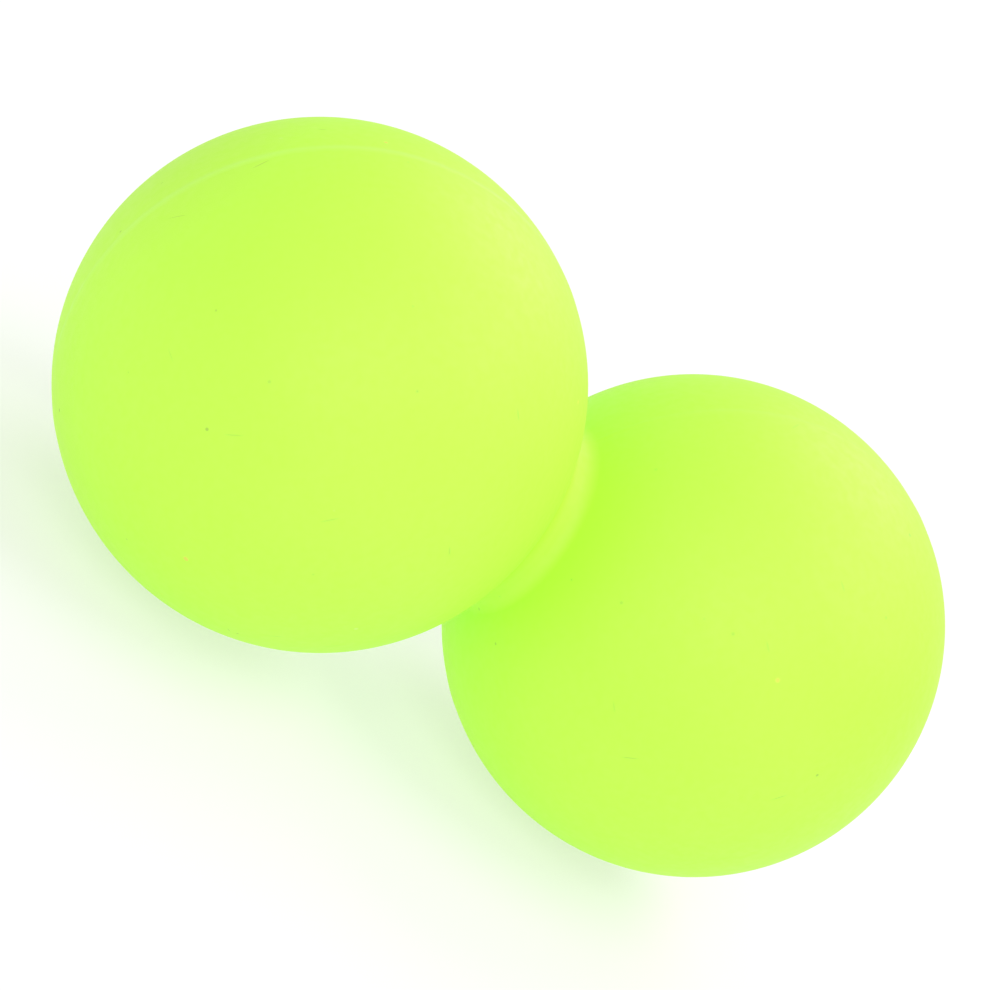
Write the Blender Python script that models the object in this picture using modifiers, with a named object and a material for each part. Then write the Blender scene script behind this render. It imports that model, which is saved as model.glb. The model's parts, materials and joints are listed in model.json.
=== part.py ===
"""Double massage ball: two firm rubber balls joined by a short flexible neck, in a silicone cover.

Run with: blender --background --python part.py (Blender 4.5, metres, +Z up).

The long axis runs along X with the middle of the neck at X = Y = 0, and the object rests on Z = 0.
The cover is moulded in a front and a rear half, which meet along the upright plane Y = 0. Each half
is cut where the neck meets the balls, because the balls and the neck move against each other.
"""

import math

import bmesh
import bpy

# Driving dimensions
BALL_RADIUS = 0.0315
BALL_SPACING = 0.0611  # from one ball's centre to the other's
NECK_RADIUS = 0.0124  # at the waist
NECK_FILLET = 0.0020  # the hollow round the waist, where the neck runs out into a ball
COVER_THICKNESS = 0.0040
LINK_SEAT_DEPTH = 0.0055  # how far each end of the neck link sits in its core
LINK_EDGE_RADIUS = 0.0015
CONTACT_DEPTH = 0.00015  # how far a ball settles where it rests, under its own weight
GAP = 0.0003  # between two pieces that touch

# Fineness of the turned shapes
TURN_STEPS = 48
OUTSIDE_STEP = math.radians(7.5)
INSIDE_STEP = math.radians(12)
EDGE_STEP = math.radians(30)
FILLET_STEP = math.radians(15)
SHARP_ANGLE = math.radians(30)
MERGE_DISTANCE = 1e-5

# Worked out from the dimensions above
AXIS_HEIGHT = BALL_RADIUS - CONTACT_DEPTH
HALF_SPACING = BALL_SPACING / 2
BORE_RADIUS = NECK_RADIUS - COVER_THICKNESS
COVER_INNER_RADIUS = BALL_RADIUS - COVER_THICKNESS
CORE_RADIUS = COVER_INNER_RADIUS - GAP
LINK_RADIUS = BORE_RADIUS - GAP

# A fillet's centre lies this far from the ball's centre and from the long axis. The fillet touches
# the ball along a circle, the crease, where the cover is cut.
FILLET_REACH = BALL_RADIUS + NECK_FILLET
FILLET_HEIGHT = NECK_RADIUS + NECK_FILLET
FILLET_TO_MIDDLE = HALF_SPACING - math.sqrt(FILLET_REACH**2 - FILLET_HEIGHT**2)
CREASE_RADIUS = BALL_RADIUS * FILLET_HEIGHT / FILLET_REACH
CREASE_TO_CENTRE = math.sqrt(BALL_RADIUS**2 - CREASE_RADIUS**2)
NECK_HALF_LENGTH = HALF_SPACING - CREASE_TO_CENTRE

SEAT_FLOOR = math.sqrt(CORE_RADIUS**2 - BORE_RADIUS**2) - LINK_SEAT_DEPTH
LINK_HALF_LENGTH = HALF_SPACING - SEAT_FLOOR - GAP

QUARTER_TURN = math.pi / 2
HALF_TURN = math.pi

FLEX_CENTRE = (0.0, 0.0, AXIS_HEIGHT)
CUTTER_SIZE = 4 * BALL_SPACING

LIME_SILICONE = {"color": (0.60, 0.93, 0.11, 1), "roughness": 0.55, "metallic": 0}
CORE_RUBBER = {"color": (0.72, 0.70, 0.62, 1), "roughness": 0.75, "metallic": 0}
LINK_RUBBER = {"color": (0.50, 0.56, 0.36, 1), "roughness": 0.65, "metallic": 0}


def clear_scene():
    for thing in list(bpy.data.objects):
        bpy.data.objects.remove(thing, do_unlink=True)


def new_collection(name):
    collection = bpy.data.collections.new(name)
    bpy.context.scene.collection.children.link(collection)
    return collection


def new_material(name, finish):
    material = bpy.data.materials.new(name)
    material.use_nodes = True
    shader = material.node_tree.nodes["Principled BSDF"]
    shader.inputs["Base Color"].default_value = finish["color"]
    shader.inputs["Roughness"].default_value = finish["roughness"]
    shader.inputs["Metallic"].default_value = finish["metallic"]
    return material


def new_frame(name, location, collection):
    """An empty that carries the pieces of one moving body."""
    frame = bpy.data.objects.new(name, None)
    frame.empty_display_size = NECK_RADIUS
    frame.location = location
    collection.objects.link(frame)
    return frame


def arc(radius, start, end, largest_step, centre=(0.0, 0.0)):
    """Points (distance from the axis, height) on an arc. Angles are measured from the upward axis."""
    steps = math.ceil(abs(end - start) / largest_step)
    angles = (start + (end - start) * i / steps for i in range(steps + 1))
    return [(centre[0] + radius * math.sin(a), centre[1] + radius * math.cos(a)) for a in angles]


def ball_outline(radius, mouth, largest_step):
    """The outside of a ball, from its mouth down to its lowest point, with a point on its equator."""
    above = arc(radius, mouth, QUARTER_TURN, largest_step)
    below = arc(radius, QUARTER_TURN, HALF_TURN, largest_step)
    return above + below[1:]


def turned(name, profile, closed, collection):
    """A profile of (distance from the axis, height) points, turned about the local Z axis."""
    mesh = bpy.data.meshes.new(name)
    points = [(radius, 0.0, height) for radius, height in profile]
    edges = [(i, i + 1) for i in range(len(points) - 1)]
    if closed:
        edges.append((len(points) - 1, 0))
    mesh.from_pydata(points, edges, [])
    piece = bpy.data.objects.new(name, mesh)
    collection.objects.link(piece)
    screw = piece.modifiers.new("Turn", "SCREW")
    screw.axis = "Z"
    screw.steps = TURN_STEPS
    screw.render_steps = TURN_STEPS
    screw.use_merge_vertices = True
    screw.merge_threshold = MERGE_DISTANCE
    return piece


def box_cutter(name, centre, collection):
    """A large cube that cuts away, or keeps, everything on one side of a plane."""
    mesh = bpy.data.meshes.new(name)
    shape = bmesh.new()
    bmesh.ops.create_cube(shape, size=CUTTER_SIZE)
    shape.to_mesh(mesh)
    shape.free()
    cutter = bpy.data.objects.new(name, mesh)
    cutter.location = centre
    cutter.hide_render = True
    cutter.display_type = "WIRE"
    collection.objects.link(cutter)
    return cutter


def cut(piece, cutter, operation):
    boolean = piece.modifiers.new(cutter.name, "BOOLEAN")
    boolean.operation = operation
    boolean.solver = "EXACT"
    boolean.object = cutter


def carry(piece, frame, location, turn):
    """Puts a piece at a place in the world, with its local Z axis turned about Y, on a frame."""
    piece.parent = frame
    piece.location = [place - origin for place, origin in zip(location, frame.location)]
    piece.rotation_euler = (0.0, turn, 0.0)


def finish(piece, material):
    """Applies the modifiers, shades the round faces smooth and keeps the cut edges sharp."""
    bpy.context.view_layer.update()
    graph = bpy.context.evaluated_depsgraph_get()
    mesh = bpy.data.meshes.new_from_object(piece.evaluated_get(graph))
    mesh.name = piece.name
    piece.modifiers.clear()
    piece.data = mesh
    mesh.shade_smooth()
    mesh.set_sharp_from_angle(angle=SHARP_ANGLE)
    mesh.materials.clear()
    mesh.materials.append(material)


def ball_cover_profile():
    """A ball's hollow cover, with its neck opening upwards: up the inside, then down the outside."""
    end_face = CREASE_TO_CENTRE - GAP / 2
    inner_mouth = math.asin(BORE_RADIUS / COVER_INNER_RADIUS)
    outer_mouth = math.acos(end_face / BALL_RADIUS)
    inside = arc(COVER_INNER_RADIUS, HALF_TURN, inner_mouth, INSIDE_STEP)
    outside = ball_outline(BALL_RADIUS, outer_mouth, OUTSIDE_STEP)
    return [*inside, (BORE_RADIUS, end_face), *outside]


def core_profile():
    """A solid ball with a flat-bottomed round seat in its top for the neck link."""
    mouth = math.asin(BORE_RADIUS / CORE_RADIUS)
    corner = (BORE_RADIUS - LINK_EDGE_RADIUS, SEAT_FLOOR + LINK_EDGE_RADIUS)
    seat_corner = arc(LINK_EDGE_RADIUS, HALF_TURN, QUARTER_TURN, EDGE_STEP, corner)
    outside = ball_outline(CORE_RADIUS, mouth, INSIDE_STEP)
    return [(0.0, SEAT_FLOOR), *seat_corner, *outside]


def link_profile():
    """A short round bar with rounded edges, standing on its end."""
    across = LINK_RADIUS - LINK_EDGE_RADIUS
    along = LINK_HALF_LENGTH - LINK_EDGE_RADIUS
    top_edge = arc(LINK_EDGE_RADIUS, 0.0, QUARTER_TURN, EDGE_STEP, (across, along))
    bottom_edge = arc(LINK_EDGE_RADIUS, QUARTER_TURN, HALF_TURN, EDGE_STEP, (across, -along))
    return [(0.0, LINK_HALF_LENGTH), *top_edge, *bottom_edge, (0.0, -LINK_HALF_LENGTH)]


def neck_cover_profile():
    """The cover's waisted sleeve round the neck, from one ball's crease to the other's."""
    end = NECK_HALF_LENGTH - GAP / 2
    sweep = math.asin((end - FILLET_TO_MIDDLE) / NECK_FILLET)
    inward = -QUARTER_TURN
    upper_centre = (FILLET_HEIGHT, FILLET_TO_MIDDLE)
    lower_centre = (FILLET_HEIGHT, -FILLET_TO_MIDDLE)
    upper = arc(NECK_FILLET, inward + sweep, inward, FILLET_STEP, upper_centre)
    lower = arc(NECK_FILLET, inward, inward - sweep, FILLET_STEP, lower_centre)
    return [*upper, *lower, (BORE_RADIUS, -end), (BORE_RADIUS, end)]


def main():
    clear_scene()
    parts = new_collection("double_massage_ball")
    cutters = new_collection("cutters")
    lime = new_material("lime_silicone", LIME_SILICONE)
    core_rubber = new_material("core_rubber", CORE_RUBBER)
    link_rubber = new_material("link_rubber", LINK_RUBBER)

    reach = CUTTER_SIZE / 2
    halves = {
        "front": box_cutter("front_half", (0.0, -reach - GAP / 2, 0.0), cutters),
        "rear": box_cutter("rear_half", (0.0, reach + GAP / 2, 0.0), cutters),
    }
    floor = box_cutter("floor_flat", (0.0, 0.0, -reach), cutters)

    left_ball = new_frame("left_ball_frame", (-HALF_SPACING, 0.0, AXIS_HEIGHT), parts)
    neck = new_frame("neck_frame", FLEX_CENTRE, parts)
    right_ball = new_frame("right_ball_frame", FLEX_CENTRE, parts)

    # Each ball's local Z axis points at the neck.
    for side, frame, x, turn in (
        ("left", left_ball, -HALF_SPACING, QUARTER_TURN),
        ("right", right_ball, HALF_SPACING, -QUARTER_TURN),
    ):
        centre = (x, 0.0, AXIS_HEIGHT)
        core = turned(side + "_core", core_profile(), False, parts)
        carry(core, frame, centre, turn)
        finish(core, core_rubber)
        for face, half in halves.items():
            cover = turned(f"{side}_cover_{face}", ball_cover_profile(), False, parts)
            carry(cover, frame, centre, turn)
            cut(cover, half, "INTERSECT")
            cut(cover, floor, "DIFFERENCE")
            finish(cover, lime)

    link = turned("neck_link", link_profile(), False, parts)
    carry(link, neck, FLEX_CENTRE, QUARTER_TURN)
    finish(link, link_rubber)
    for face, half in halves.items():
        sleeve = turned(f"neck_cover_{face}", neck_cover_profile(), True, parts)
        carry(sleeve, neck, FLEX_CENTRE, QUARTER_TURN)
        cut(sleeve, half, "INTERSECT")
        finish(sleeve, lime)


main()
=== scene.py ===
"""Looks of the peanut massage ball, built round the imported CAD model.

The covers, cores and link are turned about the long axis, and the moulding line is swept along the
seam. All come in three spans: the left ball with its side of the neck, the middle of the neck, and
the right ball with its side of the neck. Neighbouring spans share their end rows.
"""

import json
import math

import bmesh
import bpy
import numpy as np
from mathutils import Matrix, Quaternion, Vector, noise


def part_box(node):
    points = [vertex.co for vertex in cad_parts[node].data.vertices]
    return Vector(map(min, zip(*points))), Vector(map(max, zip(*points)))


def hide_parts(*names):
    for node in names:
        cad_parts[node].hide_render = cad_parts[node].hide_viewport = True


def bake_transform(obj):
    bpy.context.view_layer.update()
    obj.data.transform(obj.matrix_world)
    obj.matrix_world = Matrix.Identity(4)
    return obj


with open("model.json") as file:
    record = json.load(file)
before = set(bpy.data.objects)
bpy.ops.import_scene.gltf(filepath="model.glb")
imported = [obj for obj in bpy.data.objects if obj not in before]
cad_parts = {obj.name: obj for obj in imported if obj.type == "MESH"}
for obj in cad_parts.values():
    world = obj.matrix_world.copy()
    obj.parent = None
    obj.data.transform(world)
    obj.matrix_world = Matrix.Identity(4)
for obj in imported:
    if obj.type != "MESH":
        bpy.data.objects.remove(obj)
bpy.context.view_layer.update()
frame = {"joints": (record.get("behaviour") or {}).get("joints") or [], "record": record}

# Sizes of the CAD model, in metres
GAP = 0.0003  # between two pieces that touch
NECK_FILLET = 0.0020  # the hollow round the waist, where the neck runs out into a ball
LINK_EDGE_RADIUS = 0.0015
COVER_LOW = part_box("right_cover_front")[0]
NECK_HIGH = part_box("neck_cover_front")[1]
LINK_LOW, LINK_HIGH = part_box("neck_link")
FLEX_CENTRE = Vector(frame["joints"][0]["pos_m"])
AXIS_HEIGHT = FLEX_CENTRE.z
BALL_RADIUS = -COVER_LOW.y
BALL_CENTRE = abs(frame["record"]["mounts"][0]["pos_m"][0])
LINK_RADIUS = (LINK_HIGH.z - LINK_LOW.z) / 2
LINK_HALF_LENGTH = LINK_HIGH.x
BORE_RADIUS = LINK_RADIUS + GAP

# The crease is the circle where a ball's fillet touches the ball
CREASE_X = NECK_HIGH.x + GAP / 2
CREASE_RADIUS = math.sqrt(BALL_RADIUS**2 - (BALL_CENTRE - CREASE_X) ** 2)
FILLET_REACH = BALL_RADIUS + NECK_FILLET
FILLET_HEIGHT = CREASE_RADIUS * FILLET_REACH / BALL_RADIUS
FILLET_X = BALL_CENTRE - math.sqrt(FILLET_REACH**2 - FILLET_HEIGHT**2)
NECK_RADIUS = FILLET_HEIGHT - NECK_FILLET
COVER_THICKNESS = NECK_RADIUS - BORE_RADIUS

# Sizes that only the looks need
NECK_SPAN = 0.0012  # the middle span reaches this far each way
LINE_WIDTH = 0.0011  # of the moulding line, where it is strong
LINE_HEIGHT = 0.00005
LINE_ROOT = 0.00030  # how deep it is rooted in the skin
LINE_SUNK = 0.12  # its edges lie this share of its height under the skin
LINE_CORNERS = 9  # across its top
LINE_WAVES = {"coarse": 45, "fine": 400}  # its strength varies in waves, so many per metre
LINE_FAINT = 0.4  # its strength where it is faintest
LINE_FADE = (0.0040, 0.0140)  # the line is lost in the neck, and clear this far from its middle
BAND_HALF_WIDTH = 0.0010  # of the band of painted sheen that the line runs in
BAND_RIGHT = 0.35  # how strong the band is on the right ball
BAND_FAINT = 0.6  # how strong it is where it is faintest on the left ball

# Fineness
ARC_STEP = math.radians(1.5)
FILLET_STEP = math.radians(5)
TURN_STEP = math.radians(2)
CORE_STEP = math.radians(3)
EDGE_STEP = math.radians(15)
RUBBER_SHARP = math.radians(35)
LINE_SHARP = math.radians(50)
NECK_ROW = 0.00025
LINK_ROW = 0.0005
LINE_STEP = 0.00030
ON_AXIS = 1e-7  # a row nearer to the axis than this has one corner

# Camera: where it looks from, and how far it is rolled to lay the object across the picture
CAMERA_AZIMUTH = math.radians(-29.72)
CAMERA_ELEVATION = math.radians(18.54)
CAMERA_ROLL = math.radians(43.11)
CAMERA_DISTANCE = 0.4504
CAMERA_AIM = Vector((-0.0024, 0.0013, -0.0002))  # from the middle of the neck
CAMERA_LENS = 134.6
CAMERA_CLIP = (0.01, 20)

# Studio: the softboxes are round and face the object. Way is where one stands, seen from the object.
WORLD_STRENGTH = 0.68
SOFTBOX_DISTANCE = 1.5
SOFTBOX_SIZE = 1.0
SOFTBOXES = (
    {"name": "front_softbox", "way": (-0.350, -0.764, 0.542), "power": 6.4},
    {"name": "overhead_softbox", "way": (0.400, -0.250, 0.880), "power": 6.4},
    {"name": "back_softbox", "way": (0.450, 0.550, 0.703), "power": 6.0},
)
FLOOR_RADIUS = 4.0
FLOOR_SIDES = 96
FLOOR_SHADES = ((0.43, 0.43, 0.43), (0.45, 0.45, 0.45))
FLOOR_CLOUD = 3  # cloud scales count waves per metre, roughly
FLOOR_GLOW = 0.52

# The silicone. Its glow is painted light: an even emission for the pigment's fluorescence and for light
# carried into the groove. The noises' scales count waves per metre.
SKIN = {
    "colour": (0.497, 0.920, 0.052),
    "pale": (0.506, 0.925, 0.058),
    "deep": (0.474, 0.905, 0.044),
    # painted sheen: a paler, bluer tint stands in for the veil of light the parting line reflects
    "painted_sheen": (0.509, 0.925, 0.107),
    "glow": (0.55, 0.93, 0.050),
    "glow_strength": 0.10,
    "specular": 0.65,
    "roughness": (0.54, 0.66),
    "cloud_scale": 55,
    "grain_scale": 900,
    "grain_shade": 0.12,
    "patch_scale": 60,
    "frost_scale": 4500,
    "frost_strength": 0.25,
    "frost_depth": 0.00003,
}
RUBBER = {
    "roughness": (0.7, 0.85),
    "cloud_scale": 160,
    "grain_scale": 1500,
    "grain_strength": 0.3,
    "grain_depth": 0.00005,
}
CORE_SHADES = ((0.72, 0.70, 0.62), (0.62, 0.60, 0.52))
LINK_SHADES = ((0.50, 0.56, 0.36), (0.42, 0.48, 0.30))

# Noise gathers round 0.5: a cloud's and a finer grain's usual lowest and highest values
CLOUD_RANGE = (0.35, 0.65)
GRAIN_RANGE = (0.3, 0.7)

# Which of a Mix node's sockets are its two colours and its colour result
MIX_INPUTS = (6, 7)
MIX_OUTPUT = 2

# Dust on the silicone: dark dots, hairs two ways, pale dots and orange dots. Dots lie in cells of
# space, and one shows only where the skin passes within its radius, so small dots in large cells are
# rare. Hairs, which are longer than 1, lie in long cells of the skin itself, one in each.
DUST = (
    {"cell": 0.0055, "radius": 0.00028, "length": 1, "turn": (0, 0, 0), "share": 0.6,
     "colour": (0.22, 0.36, 0.05)},
    {"cell": 0.0130, "radius": 0.00014, "length": 9, "turn": (0, 0, 0.9), "share": 0.45,
     "colour": (0.26, 0.42, 0.05)},
    {"cell": 0.0140, "radius": 0.00016, "length": 5, "turn": (0, 0, 2.3), "share": 0.45,
     "colour": (0.26, 0.42, 0.05)},
    {"cell": 0.0090, "radius": 0.00032, "length": 1, "turn": (1, 0, 0), "share": 0.5,
     "colour": (0.66, 0.95, 0.36)},
    {"cell": 0.0140, "radius": 0.00042, "length": 1, "turn": (0, 1, 0), "share": 0.9,
     "colour": (0.80, 0.50, 0.10)},
)
DUST_FAINT = 0.2  # how strong the faintest piece of each kind is. Share is how strong the strongest is.


# ---------------------------------------------------------------- outlines

def steps_between(start, end, step):
    count = max(1, math.ceil(abs(end - start) / step))
    return np.linspace(start, end, count + 1)


def fillet_rows(start, end):
    """Rows of the waist's hollow between two angles, measured from its narrowest place."""
    return [
        (
            FILLET_X + NECK_FILLET * math.sin(a),
            FILLET_HEIGHT - NECK_FILLET * math.cos(a),
            -math.sin(a),
            math.cos(a),
        )
        for a in steps_between(start, end, FILLET_STEP)
    ]


SPAN_ANGLE = math.asin((NECK_SPAN - FILLET_X) / NECK_FILLET)
CREASE_ANGLE = math.acos(FILLET_HEIGHT / FILLET_REACH)


def skin_outline():
    """Rows (x, radius, normal along x, normal outwards) of the skin, from the span's end to the pole."""
    rows = fillet_rows(SPAN_ANGLE, CREASE_ANGLE)
    for a in steps_between(math.pi / 2 - CREASE_ANGLE, math.pi, ARC_STEP)[1:]:
        x = BALL_CENTRE - BALL_RADIUS * math.cos(a)
        rows.append((x, BALL_RADIUS * math.sin(a), -math.cos(a), math.sin(a)))
    return rows


def neck_outline():
    """Rows of the middle span's skin, from left to right."""
    right = fillet_rows(0.0, SPAN_ANGLE)
    left = [(-x, radius, -along, out) for x, radius, along, out in reversed(right)]
    return left + right


def lining_outline(count):
    """Points (x, radius) of the cover's inside, as many as its outside has, from the bore to the pole."""
    radius = BALL_RADIUS - COVER_THICKNESS
    mouth = math.asin(BORE_RADIUS / radius)
    points = [(NECK_SPAN, BORE_RADIUS)]
    for a in np.linspace(mouth, math.pi, count - 1):
        points.append((BALL_CENTRE - radius * math.cos(a), radius * math.sin(a)))
    return points


# ---------------------------------------------------------------- meshes

def turned_points(rows, angles, mirror, side):
    """Corner numbers row by row, and the corners. A row on the axis has one corner for all angles."""
    corners, numbers = [], []
    for x, radius, *_ in rows:
        if radius < ON_AXIS:
            numbers.append([len(corners)] * len(angles))
            corners.append((mirror * x, 0.0, AXIS_HEIGHT))
            continue
        numbers.append(list(range(len(corners), len(corners) + len(angles))))
        for a in angles:
            corners.append(
                (mirror * x, side * radius * math.cos(a), AXIS_HEIGHT + radius * math.sin(a))
            )
    return corners, numbers


def rested(corners):
    """Nothing reaches below the surface that the object lies on: a ball is flat where it rests."""
    return [(x, y, max(z, 0.0)) for x, y, z in corners]


def make_mesh(name, corners, faces):
    """A mesh whose faces point out, with the rest position stored for the materials."""
    corners = np.array(corners, float)
    # A face that meets the axis names that corner twice
    faces = [tuple(dict.fromkeys(f)) for f in faces]
    faces = [f for f in faces if len(f) > 2]
    volume = sum(
        np.dot(corners[f[0]], np.cross(corners[f[i]], corners[f[i + 1]]))
        for f in faces
        for i in range(1, len(f) - 1)
    )
    if volume < 0:
        faces = [f[::-1] for f in faces]
    mesh = bpy.data.meshes.new(name)
    mesh.from_pydata(corners.tolist(), [], faces)
    mesh.shade_smooth()
    place = mesh.attributes.new("rest_place", "FLOAT_VECTOR", "POINT")
    place.data.foreach_set("vector", corners.astype(np.float32).ravel())
    piece = bpy.data.objects.new(name, mesh)
    bpy.context.scene.collection.objects.link(piece)
    return piece


def half_shell(name, outside, inside, mirror, side):
    """One closed half of a cover's span: outside and lining, joined along the seam and the ends."""
    angles = steps_between(-math.pi / 2, math.pi / 2, TURN_STEP)
    outer_corners, o = turned_points(outside, angles, mirror, side)
    inner_corners, n = turned_points(inside, angles, mirror, side)
    n = [[k + len(outer_corners) for k in row] for row in n]
    last_row, last = len(o) - 1, len(angles) - 1
    faces = []
    for i in range(last_row):
        for j in range(last):
            faces.append((o[i][j], o[i][j + 1], o[i + 1][j + 1], o[i + 1][j]))
    outer_count = len(faces)
    for i in range(last_row):
        for j in range(last):
            faces.append((n[i][j], n[i + 1][j], n[i + 1][j + 1], n[i][j + 1]))
        faces.append((o[i][0], o[i + 1][0], n[i + 1][0], n[i][0]))
        faces.append((o[i + 1][last], o[i][last], n[i][last], n[i + 1][last]))
    for j in range(last):
        faces.append((o[0][j + 1], o[0][j], n[0][j], n[0][j + 1]))
        if outside[-1][1] > ON_AXIS:
            faces.append((o[-1][j], o[-1][j + 1], n[-1][j + 1], n[-1][j]))
    piece = make_mesh(name, rested(outer_corners + inner_corners), faces)
    normals = outline_normals(outside, angles, mirror, side)
    set_normals(piece.data, normals, outer_count)
    return piece


def outline_normals(rows, angles, mirror, side):
    found = []
    for _, radius, along, out in rows:
        if radius < ON_AXIS:
            found.append((mirror * along, 0.0, 0.0))
            continue
        for a in angles:
            found.append((mirror * along, side * out * math.cos(a), out * math.sin(a)))
    return found


def set_normals(mesh, normals, outer_count):
    """The outside takes its outline's exact normals, so that no facet or seam shows. The rest is flat."""
    found = []
    for k, face in enumerate(mesh.polygons):
        for corner in face.vertices:
            found.append(normals[corner] if k < outer_count else tuple(face.normal))
    mesh.normals_split_custom_set(found)


def full_turn(name, outline, mirror):
    """A solid of revolution from an outline that starts and ends on the axis or is closed by flat ends."""
    angles = np.arange(0, 2 * math.pi, 2 * TURN_STEP)
    corners, rows = turned_points(outline, angles, mirror, 1)
    faces = []
    for i in range(len(rows) - 1):
        for j in range(len(angles)):
            k = (j + 1) % len(angles)
            faces.append((rows[i][j], rows[i][k], rows[i + 1][k], rows[i + 1][j]))
    if outline[0][1] > ON_AXIS:
        faces.append(tuple(rows[0][::-1]))
    if outline[-1][1] > ON_AXIS:
        faces.append(tuple(rows[-1]))
    piece = make_mesh(name, corners, faces)
    piece.data.set_sharp_from_angle(angle=RUBBER_SHARP)
    return piece


# ---------------------------------------------------------------- pieces

def mount_in_span(piece, span, material, slot, *nodes):
    """Gives the piece its material, bakes its place into its mesh and hides the CAD parts it stands for.
    The span is not used.
    """
    piece.data.materials.append(material)
    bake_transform(piece)
    if nodes:
        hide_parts(*nodes)


def make_covers(material):
    outside = skin_outline()
    inside = lining_outline(len(outside))
    middle = neck_outline()
    middle_inside = [(x, BORE_RADIUS) for x, *_ in middle]
    for half, side in (("front", -1), ("rear", 1)):
        for span, mirror in (("left", -1), ("right", 1)):
            piece = half_shell(f"{half}_skin_{span}", outside, inside, mirror, side)
            mount_in_span(piece, span, material, "lime_silicone", f"{span}_cover_{half}")
        piece = half_shell(f"{half}_skin_neck", middle, middle_inside, 1, side)
        mount_in_span(piece, "neck", material, "lime_silicone", f"neck_cover_{half}")


def make_cores(material):
    """Solid rubber balls, each with a round seat for the link."""
    radius = BALL_RADIUS - COVER_THICKNESS - GAP
    seat = LINK_HALF_LENGTH + GAP
    corner = [
        (
            seat - LINK_EDGE_RADIUS * (1 - math.sin(a)),
            BORE_RADIUS - LINK_EDGE_RADIUS * (1 - math.cos(a)),
        )
        for a in steps_between(math.pi / 2, 0.0, EDGE_STEP)
    ]
    ball = [
        (BALL_CENTRE - radius * math.cos(a), radius * math.sin(a))
        for a in steps_between(math.asin(BORE_RADIUS / radius), math.pi, CORE_STEP)
    ]
    for span, mirror in (("left", -1), ("right", 1)):
        piece = full_turn(f"{span}_rubber_core", [(seat, 0.0), *corner, *ball], mirror)
        mount_in_span(piece, span, material, "core_rubber", f"{span}_core")


def make_link(material):
    """The rubber bar through the neck, in one length for each span."""
    edge_x = LINK_HALF_LENGTH - LINK_EDGE_RADIUS
    edge = [
        (edge_x + LINK_EDGE_RADIUS * math.sin(a), LINK_RADIUS - LINK_EDGE_RADIUS * (1 - math.cos(a)))
        for a in steps_between(0.0, math.pi / 2, EDGE_STEP)
    ]
    straight = [(x, LINK_RADIUS) for x in steps_between(NECK_SPAN, edge_x, LINK_ROW)]
    end = [*straight[:-1], *edge, (LINK_HALF_LENGTH, 0.0)]
    for span, mirror in (("left", -1), ("right", 1)):
        piece = full_turn(f"neck_link_{span}", end, mirror)
        mount_in_span(piece, span, material, "link_rubber", "neck_link")
    middle = [(x, LINK_RADIUS) for x in steps_between(-NECK_SPAN, NECK_SPAN, NECK_ROW)]
    piece = full_turn("neck_link_middle", middle, 1)
    mount_in_span(piece, "neck", material, "link_rubber", "neck_link")


def line_strength(x, z):
    """How high the moulding line stands, from 0 to 1, at a place on the seam."""
    coarse = noise.noise(Vector((x, z, 0.0)) * LINE_WAVES["coarse"])
    fine = noise.noise(Vector((z, x, 0.3)) * LINE_WAVES["fine"])
    return min(1.0, max(LINE_FAINT, 0.75 + 0.4 * coarse + 0.25 * fine))


def moulding_line(name, route):
    """The thin raised line where the mould's halves met, swept along the seam.

    A point of the route is (x, z, normal x, normal z, how sharply the skin curves away sideways).
    """
    across = np.linspace(-1.0, 1.0, LINE_CORNERS)
    corners, sections = [], []
    for x, z, normal_x, normal_z, curve in route:
        strength = line_strength(x, z)
        half_width = LINE_WIDTH / 2 * (0.8 + 0.4 * strength)
        section = []
        for t in across:
            y = t * half_width
            rise = LINE_HEIGHT * (strength * math.cos(t * math.pi / 2) ** 2 - LINE_SUNK)
            section.append((y, rise - curve * y**2 / 2))
        section += [(half_width, -LINE_ROOT), (-half_width, -LINE_ROOT)]
        sections.append(range(len(corners), len(corners) + len(section)))
        for y, height in section:
            corners.append((x + height * normal_x, y, z + height * normal_z))
    faces = []
    count = len(sections[0])
    for here, there in zip(sections, sections[1:]):
        for j in range(count):
            k = (j + 1) % count
            faces.append((here[j], here[k], there[k], there[j]))
    faces.append(tuple(reversed(sections[0])))
    faces.append(tuple(sections[-1]))
    piece = make_mesh(name, rested(corners), faces)
    piece.data.set_sharp_from_angle(angle=LINE_SHARP)
    return piece


def curve_across(radius, out):
    """How sharply the skin curves away from the seam, at a row of its outline."""
    return out / radius if radius > ON_AXIS else 1 / BALL_RADIUS


def seam_route(rows, mirror, up):
    """Where the skin's outline crosses the seam, above (up = 1) or below (up = -1) the axis."""
    return [
        (mirror * x, AXIS_HEIGHT + up * radius, mirror * along, up * out, curve_across(radius, out))
        for x, radius, along, out in rows
    ]


def evenly(route, step):
    """The same route with its points at most a step apart."""
    found = []
    for a, b in zip(route, route[1:]):
        a, b = np.array(a), np.array(b)
        count = max(1, math.ceil(np.hypot(*(b - a)[:2]) / step))
        found += [tuple(a + (b - a) * i / count) for i in range(count)]
    return [*found, route[-1]]


def make_moulding_lines(material):
    outside = skin_outline()
    for span, mirror in (("left", -1), ("right", 1)):
        over = seam_route(outside, mirror, 1)
        under = seam_route(outside[:-1], mirror, -1)[::-1]
        piece = moulding_line(f"moulding_line_{span}", evenly(over + under, LINE_STEP))
        mount_in_span(piece, span, material, "lime_silicone")
    for place, up in (("top", 1), ("bottom", -1)):
        route = seam_route(neck_outline(), 1, up)
        piece = moulding_line(f"moulding_line_neck_{place}", evenly(route, LINE_STEP))
        mount_in_span(piece, "neck", material, "lime_silicone")


# ---------------------------------------------------------------- materials

def new_material(name):
    material = bpy.data.materials.new(name)
    material.use_nodes = True
    tree = material.node_tree
    return material, tree, tree.nodes["Principled BSDF"]


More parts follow.
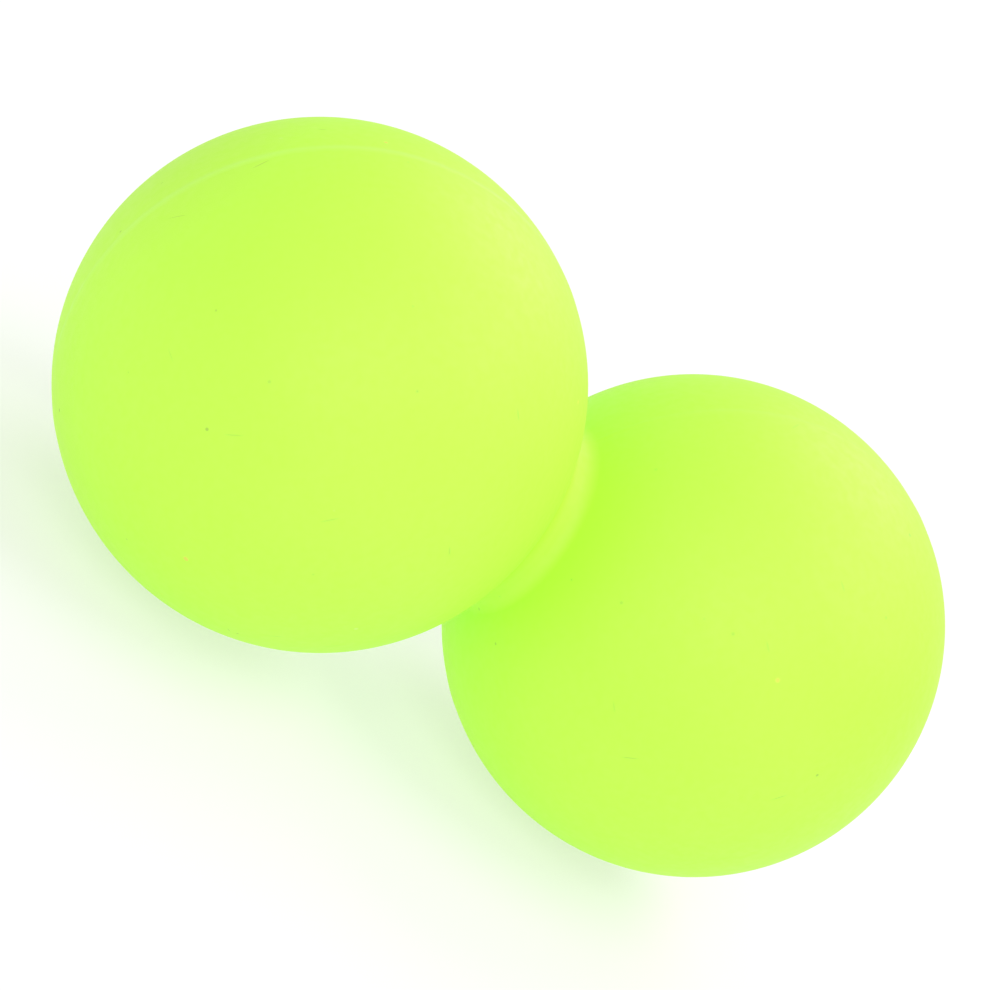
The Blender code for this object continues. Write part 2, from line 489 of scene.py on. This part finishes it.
def add_node(tree, kind, links=(), **values):
    """A node, its input values by name, and its input links as (input, socket) pairs."""
    node = tree.nodes.new(kind)
    for key, value in values.items():
        setattr(node, key, value)
    for target, source in links:
        tree.links.new(source, node.inputs[target])
    return node


def noise_at(tree, place, scale, detail=2.0):
    node = add_node(tree, "ShaderNodeTexNoise", [("Vector", place)])
    node.inputs["Scale"].default_value = scale
    node.inputs["Detail"].default_value = detail
    return node.outputs["Fac"]


def spread(tree, value, low, high, to_low, to_high, interpolation="LINEAR"):
    """value, mapped from low..high to to_low..to_high."""
    node = add_node(tree, "ShaderNodeMapRange", [("Value", value)], interpolation_type=interpolation)
    for key, number in (
        ("From Min", low), ("From Max", high), ("To Min", to_low), ("To Max", to_high),
    ):
        node.inputs[key].default_value = number
    return node.outputs["Result"]


def mixed(tree, share, first, second):
    """A colour between two, by share. Each is a colour or a socket."""
    node = add_node(tree, "ShaderNodeMix", data_type="RGBA")
    tree.links.new(share, node.inputs["Factor"])
    for place, colour in zip(MIX_INPUTS, (first, second)):
        socket = node.inputs[place]
        if isinstance(colour, tuple):
            socket.default_value = (*colour, 1)
        else:
            tree.links.new(colour, socket)
    return node.outputs[MIX_OUTPUT]


def rest_place(tree):
    return add_node(tree, "ShaderNodeAttribute", attribute_name="rest_place").outputs["Vector"]


def times(tree, first, second):
    """The product of two values, each a number or a socket."""
    node = add_node(tree, "ShaderNodeMath", operation="MULTIPLY")
    for socket, value in zip(node.inputs, (first, second)):
        if isinstance(value, float):
            socket.default_value = value
        else:
            tree.links.new(value, socket)
    return node.outputs[0]


def size_of(tree, value):
    """The value without its sign."""
    return add_node(tree, "ShaderNodeMath", [(0, value)], operation="ABSOLUTE").outputs[0]


def parting_line_sheen(tree, place):
    """Where the parting line's sheen is painted, 1 on the line and 0 beside it. It is patchy, faint on the
    right ball and lost in the neck.
    """
    split = add_node(tree, "ShaderNodeSeparateXYZ", [("Vector", place)])
    aside, along = (size_of(tree, split.outputs[axis]) for axis in "YX")
    band = spread(tree, aside, 0.0, BAND_HALF_WIDTH, 1.0, 0.0, "SMOOTHSTEP")
    band = times(tree, band, spread(tree, along, *LINE_FADE, 0.0, 1.0))
    across = spread(tree, split.outputs["X"], -BALL_CENTRE / 2, BALL_CENTRE / 2, 1.0, BAND_RIGHT)
    band = times(tree, band, across)
    patches = noise_at(tree, place, SKIN["patch_scale"])
    return times(tree, band, spread(tree, patches, *CLOUD_RANGE, BAND_FAINT, 1.0))


def skin_place(tree, place):
    """Places as (along the long axis, round it), in metres, for what lies flat on the skin."""
    split = add_node(tree, "ShaderNodeSeparateXYZ", [("Vector", place)])
    above = add_node(tree, "ShaderNodeMath", [(0, split.outputs["Z"])], operation="SUBTRACT")
    above.inputs[1].default_value = AXIS_HEIGHT
    turn = add_node(
        tree, "ShaderNodeMath", [(0, split.outputs["Y"]), (1, above.outputs[0])], operation="ARCTAN2"
    )
    round_it = times(tree, turn.outputs[0], BALL_RADIUS)
    flat = add_node(tree, "ShaderNodeCombineXYZ", [("X", split.outputs["X"]), ("Y", round_it)])
    return flat.outputs[0]


def specks(tree, place, kind):
    """Where one kind of dust lies, from 0 to 1: round one random place in each cell."""
    dimensions = "3D"
    if kind["length"] > 1:
        place = skin_place(tree, place)
        dimensions = "2D"
    turned = add_node(tree, "ShaderNodeMapping", [("Vector", place)], vector_type="TEXTURE")
    turned.inputs["Rotation"].default_value = kind["turn"]
    turned.inputs["Scale"].default_value = (kind["length"], 1, 1)
    cells = add_node(
        tree, "ShaderNodeTexVoronoi", [("Vector", turned.outputs[0])], voronoi_dimensions=dimensions
    )
    cells.inputs["Scale"].default_value = 1 / kind["cell"]
    reach = kind["radius"] / kind["cell"]
    spot = spread(tree, cells.outputs["Distance"], reach / 2, reach, 1.0, 0.0)
    chance = add_node(tree, "ShaderNodeSeparateColor", [("Color", cells.outputs["Color"])])
    strength = spread(tree, chance.outputs["Red"], 0.0, 1.0, DUST_FAINT, kind["share"])
    return times(tree, spot, strength)


def roughen(tree, shader, height, strength, depth):
    """Gives the shader's surface a fine grain."""
    bump = add_node(tree, "ShaderNodeBump", [("Height", height)])
    bump.inputs["Strength"].default_value = strength
    bump.inputs["Distance"].default_value = depth
    tree.links.new(bump.outputs["Normal"], shader.inputs["Normal"])


def silicone(name):
    """Matte moulded silicone: faint mottling, a frosty grain, a painted sheen along the parting line, and
    dust.
    """
    material, tree, shader = new_material(name)
    place = rest_place(tree)
    cloud = spread(tree, noise_at(tree, place, SKIN["cloud_scale"]), *CLOUD_RANGE, 0, 1)
    grain = spread(tree, noise_at(tree, place, SKIN["grain_scale"], 4), *GRAIN_RANGE, 0, 1)
    band = parting_line_sheen(tree, place)
    tint = mixed(tree, cloud, SKIN["colour"], SKIN["pale"])
    tint = mixed(tree, spread(tree, grain, 0, 1, 0, SKIN["grain_shade"]), tint, SKIN["deep"])
    # painted sheen: the parting line's band is tinted paler and bluer in place of the light it reflects
    tint = mixed(tree, band, tint, SKIN["painted_sheen"])
    for kind in DUST:
        tint = mixed(tree, specks(tree, place, kind), tint, kind["colour"])
    tree.links.new(tint, shader.inputs["Base Color"])
    tree.links.new(spread(tree, grain, 0, 1, *SKIN["roughness"]), shader.inputs["Roughness"])
    frost = noise_at(tree, place, SKIN["frost_scale"], 3)
    roughen(tree, shader, frost, SKIN["frost_strength"], SKIN["frost_depth"])
    shader.inputs["Specular IOR Level"].default_value = SKIN["specular"]
    # painted glow: an even emission stands in for fluorescence and for light the translucent silicone
    # carries into the groove
    shader.inputs["Emission Color"].default_value = (*SKIN["glow"], 1)
    shader.inputs["Emission Strength"].default_value = SKIN["glow_strength"]
    return material


def plain_rubber(name, colour, dark):
    """Pressed rubber stock that never shows: cloudy, with a dull grain."""
    material, tree, shader = new_material(name)
    place = rest_place(tree)
    cloud = spread(tree, noise_at(tree, place, RUBBER["cloud_scale"], 4), *GRAIN_RANGE, 0, 1)
    tree.links.new(mixed(tree, cloud, colour, dark), shader.inputs["Base Color"])
    tree.links.new(spread(tree, cloud, 0, 1, *RUBBER["roughness"]), shader.inputs["Roughness"])
    grain = noise_at(tree, place, RUBBER["grain_scale"], 3)
    roughen(tree, shader, grain, RUBBER["grain_strength"], RUBBER["grain_depth"])
    return material


# ---------------------------------------------------------------- studio

def make_floor():
    """A white light table. It is lit from below as well, so the shadows on it are faint."""
    mesh = bpy.data.meshes.new("studio_floor")
    shape = bmesh.new()
    bmesh.ops.create_circle(shape, cap_ends=True, segments=FLOOR_SIDES, radius=FLOOR_RADIUS)
    shape.to_mesh(mesh)
    shape.free()
    floor = bpy.data.objects.new("studio_floor", mesh)
    bpy.context.scene.collection.objects.link(floor)
    material, tree, shader = new_material("pale_floor")
    place = add_node(tree, "ShaderNodeTexCoord").outputs["Object"]
    shade = mixed(tree, noise_at(tree, place, FLOOR_CLOUD), *FLOOR_SHADES)
    tree.links.new(shade, shader.inputs["Base Color"])
    shader.inputs["Roughness"].default_value = 0.9
    shader.inputs["Specular IOR Level"].default_value = 0.1
    shader.inputs["Emission Color"].default_value = (1, 1, 1, 1)
    shader.inputs["Emission Strength"].default_value = FLOOR_GLOW
    mesh.materials.append(material)


def make_softbox(name, way, power):
    """A round soft lamp that faces the middle of the neck from one way."""
    light = bpy.data.lights.new(name, "AREA")
    light.shape = "DISK"
    light.size = SOFTBOX_SIZE
    light.energy = power
    lamp = bpy.data.objects.new(name, light)
    lamp.location = FLEX_CENTRE + SOFTBOX_DISTANCE * Vector(way)
    lamp.rotation_mode = "QUATERNION"
    lamp.rotation_quaternion = (FLEX_CENTRE - lamp.location).to_track_quat("-Z", "Y")
    bpy.context.scene.collection.objects.link(lamp)


def make_studio():
    world = bpy.data.worlds.new("studio_world")
    bpy.context.scene.world = world
    world.use_nodes = True
    background = world.node_tree.nodes["Background"]
    background.inputs["Color"].default_value = (1, 1, 1, 1)
    background.inputs["Strength"].default_value = WORLD_STRENGTH
    for softbox in SOFTBOXES:
        make_softbox(softbox["name"], softbox["way"], softbox["power"])
    bpy.context.scene.view_settings.view_transform = "Standard"


def make_camera():
    data = bpy.data.cameras.new("photo_camera")
    data.lens = CAMERA_LENS
    data.clip_start, data.clip_end = CAMERA_CLIP
    camera = bpy.data.objects.new("photo_camera", data)
    bpy.context.scene.collection.objects.link(camera)
    level = math.cos(CAMERA_ELEVATION)
    back = Vector((
        math.sin(CAMERA_AZIMUTH) * level,
        -math.cos(CAMERA_AZIMUTH) * level,
        math.sin(CAMERA_ELEVATION),
    ))
    camera.location = FLEX_CENTRE + CAMERA_AIM + back * CAMERA_DISTANCE
    camera.rotation_mode = "QUATERNION"
    roll = Quaternion((0, 0, 1), CAMERA_ROLL)
    camera.rotation_quaternion = (-back).to_track_quat("-Z", "Y") @ roll
    bpy.context.scene.camera = camera


# ---------------------------------------------------------------- the scene

make_camera()
make_studio()
make_floor()
skin = silicone("lime_silicone_skin")
make_covers(skin)
make_moulding_lines(skin)
make_cores(plain_rubber("core_rubber_stock", *CORE_SHADES))
make_link(plain_rubber("link_rubber_stock", *LINK_SHADES))
